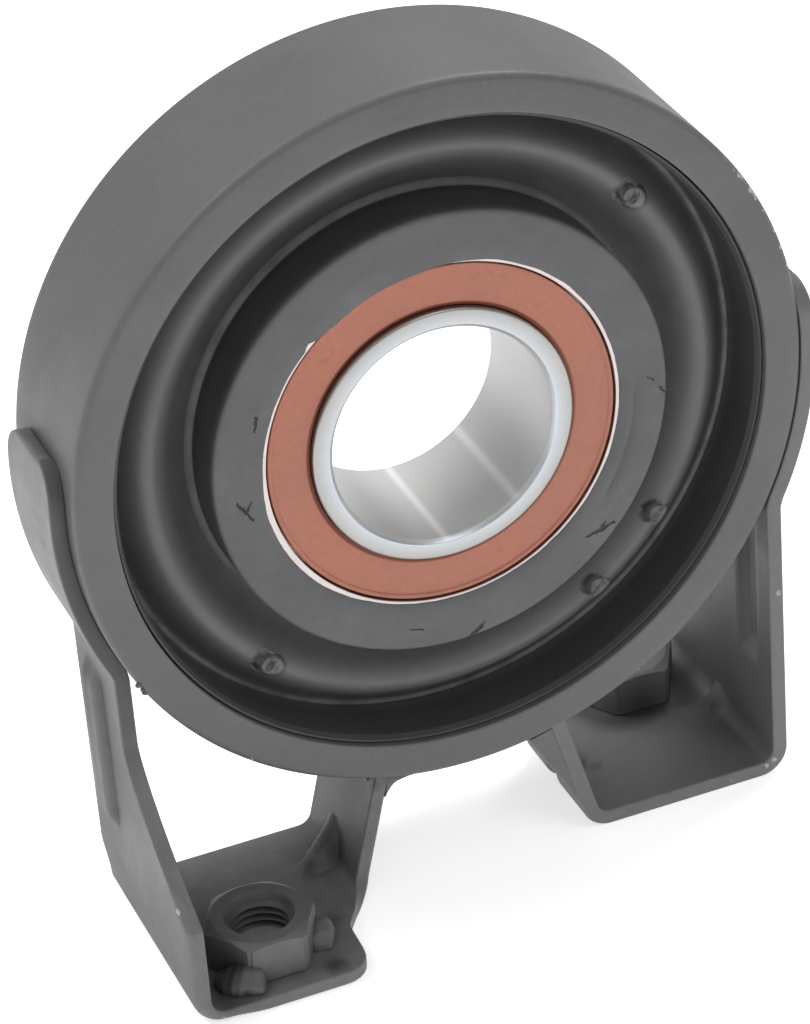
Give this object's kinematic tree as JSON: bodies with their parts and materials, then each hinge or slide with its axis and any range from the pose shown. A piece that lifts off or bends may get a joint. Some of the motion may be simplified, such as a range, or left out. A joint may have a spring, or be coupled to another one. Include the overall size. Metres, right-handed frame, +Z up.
{
  "type": "driveshaft centre bearing",
  "caption": "Standing centre bearing for a propeller shaft: a steel ring on pressed feet holds a rubber-cushioned, sealed ball bearing.",
  "frame": {"origin": "below the middle of the part's box, on the plane that both feet stand on", "axes": "+Z up from the feet to the top of the ring, Y along the shaft with the rubber's raised fold and the left foot toward -Y, +X to the right seen from -Y"},
  "size_m": [0.1384, 0.0694, 0.1541],
  "materials": {
    "ring_paint": "satin dark grey paint over steel",
    "bracket_paint": "satin dark grey paint over pressed steel",
    "nut_paint": "thin dark grey paint over a steel weld nut",
    "rubber": "satin black moulded rubber",
    "sleeve_steel": "plain turned steel",
    "race_steel": "ground bearing steel",
    "ball_steel": "polished bearing steel",
    "cage_plastic": "moulded cage plastic",
    "seal_rubber": "terracotta seal rubber"
  },
  "bodies": {
    "housing": {"housing_ring": "ring_paint", "rubber_cushion": "rubber", "inner_sleeve": "sleeve_steel", "bearing_outer_race": "race_steel", "front_seal": "seal_rubber", "rear_seal": "seal_rubber", "left_bracket": "bracket_paint", "left_weld_nut": "nut_paint", "right_bracket": "bracket_paint", "right_weld_nut": "nut_paint", "left_leg_weld_inner": "bracket_paint", "left_leg_weld_outer": "bracket_paint", "left_nut_weld_inner": "bracket_paint", "left_nut_weld_outer": "bracket_paint", "right_leg_weld_inner": "bracket_paint", "right_leg_weld_outer": "bracket_paint", "right_nut_weld_inner": "bracket_paint", "right_nut_weld_outer": "bracket_paint"},
    "inner_race": {"bearing_inner_race": "race_steel"},
    "cage": {"ball_cage": "cage_plastic"},
    "ball_01": {"ball_01": "ball_steel"},
    "ball_02": {"ball_02": "ball_steel"},
    "ball_03": {"ball_03": "ball_steel"},
    "ball_04": {"ball_04": "ball_steel"},
    "ball_05": {"ball_05": "ball_steel"},
    "ball_06": {"ball_06": "ball_steel"},
    "ball_07": {"ball_07": "ball_steel"},
    "ball_08": {"ball_08": "ball_steel"},
    "ball_09": {"ball_09": "ball_steel"},
    "ball_10": {"ball_10": "ball_steel"},
    "ball_11": {"ball_11": "ball_steel"},
    "ball_12": {"ball_12": "ball_steel"}
  },
  "joints": [
    {"name": "race_spin", "type": "hinge", "parent": "housing", "child": "inner_race", "pos_m": [0, 0.00225, 0.088], "axis": [0, 1, 0], "continuous": true},
    {"name": "cage_spin", "type": "hinge", "parent": "housing", "child": "cage", "pos_m": [0, 0.00225, 0.088], "axis": [0, 1, 0], "continuous": true},
    {"name": "ball_01_spin", "type": "hinge", "parent": "cage", "child": "ball_01", "pos_m": [0.027, 0.00225, 0.088], "axis": [0, 1, 0], "continuous": true},
    {"name": "ball_02_spin", "type": "hinge", "parent": "cage", "child": "ball_02", "pos_m": [0.02338, 0.00225, 0.1015], "axis": [0, 1, 0], "continuous": true},
    {"name": "ball_03_spin", "type": "hinge", "parent": "cage", "child": "ball_03", "pos_m": [0.0135, 0.00225, 0.11138], "axis": [0, 1, 0], "continuous": true},
    {"name": "ball_04_spin", "type": "hinge", "parent": "cage", "child": "ball_04", "pos_m": [0, 0.00225, 0.115], "axis": [0, 1, 0], "continuous": true},
    {"name": "ball_05_spin", "type": "hinge", "parent": "cage", "child": "ball_05", "pos_m": [-0.0135, 0.00225, 0.11138], "axis": [0, 1, 0], "continuous": true},
    {"name": "ball_06_spin", "type": "hinge", "parent": "cage", "child": "ball_06", "pos_m": [-0.02338, 0.00225, 0.1015], "axis": [0, 1, 0], "continuous": true},
    {"name": "ball_07_spin", "type": "hinge", "parent": "cage", "child": "ball_07", "pos_m": [-0.027, 0.00225, 0.088], "axis": [0, 1, 0], "continuous": true},
    {"name": "ball_08_spin", "type": "hinge", "parent": "cage", "child": "ball_08", "pos_m": [-0.02338, 0.00225, 0.0745], "axis": [0, 1, 0], "continuous": true},
    {"name": "ball_09_spin", "type": "hinge", "parent": "cage", "child": "ball_09", "pos_m": [-0.0135, 0.00225, 0.06462], "axis": [0, 1, 0], "continuous": true},
    {"name": "ball_10_spin", "type": "hinge", "parent": "cage", "child": "ball_10", "pos_m": [0, 0.00225, 0.061], "axis": [0, 1, 0], "continuous": true},
    {"name": "ball_11_spin", "type": "hinge", "parent": "cage", "child": "ball_11", "pos_m": [0.0135, 0.00225, 0.06462], "axis": [0, 1, 0], "continuous": true},
    {"name": "ball_12_spin", "type": "hinge", "parent": "cage", "child": "ball_12", "pos_m": [0.02338, 0.00225, 0.0745], "axis": [0, 1, 0], "continuous": true}
  ],
  "couplings": [
    {"joint": "cage_spin", "follows": "race_spin", "ratio": 0.42778},
    {"joint": "ball_01_spin", "follows": "race_spin", "ratio": -3.3893},
    {"joint": "ball_02_spin", "follows": "race_spin", "ratio": -3.3893},
    {"joint": "ball_03_spin", "follows": "race_spin", "ratio": -3.3893},
    {"joint": "ball_04_spin", "follows": "race_spin", "ratio": -3.3893},
    {"joint": "ball_05_spin", "follows": "race_spin", "ratio": -3.3893},
    {"joint": "ball_06_spin", "follows": "race_spin", "ratio": -3.3893},
    {"joint": "ball_07_spin", "follows": "race_spin", "ratio": -3.3893},
    {"joint": "ball_08_spin", "follows": "race_spin", "ratio": -3.3893},
    {"joint": "ball_09_spin", "follows": "race_spin", "ratio": -3.3893},
    {"joint": "ball_10_spin", "follows": "race_spin", "ratio": -3.3893},
    {"joint": "ball_11_spin", "follows": "race_spin", "ratio": -3.3893},
    {"joint": "ball_12_spin", "follows": "race_spin", "ratio": -3.3893}
  ]
}
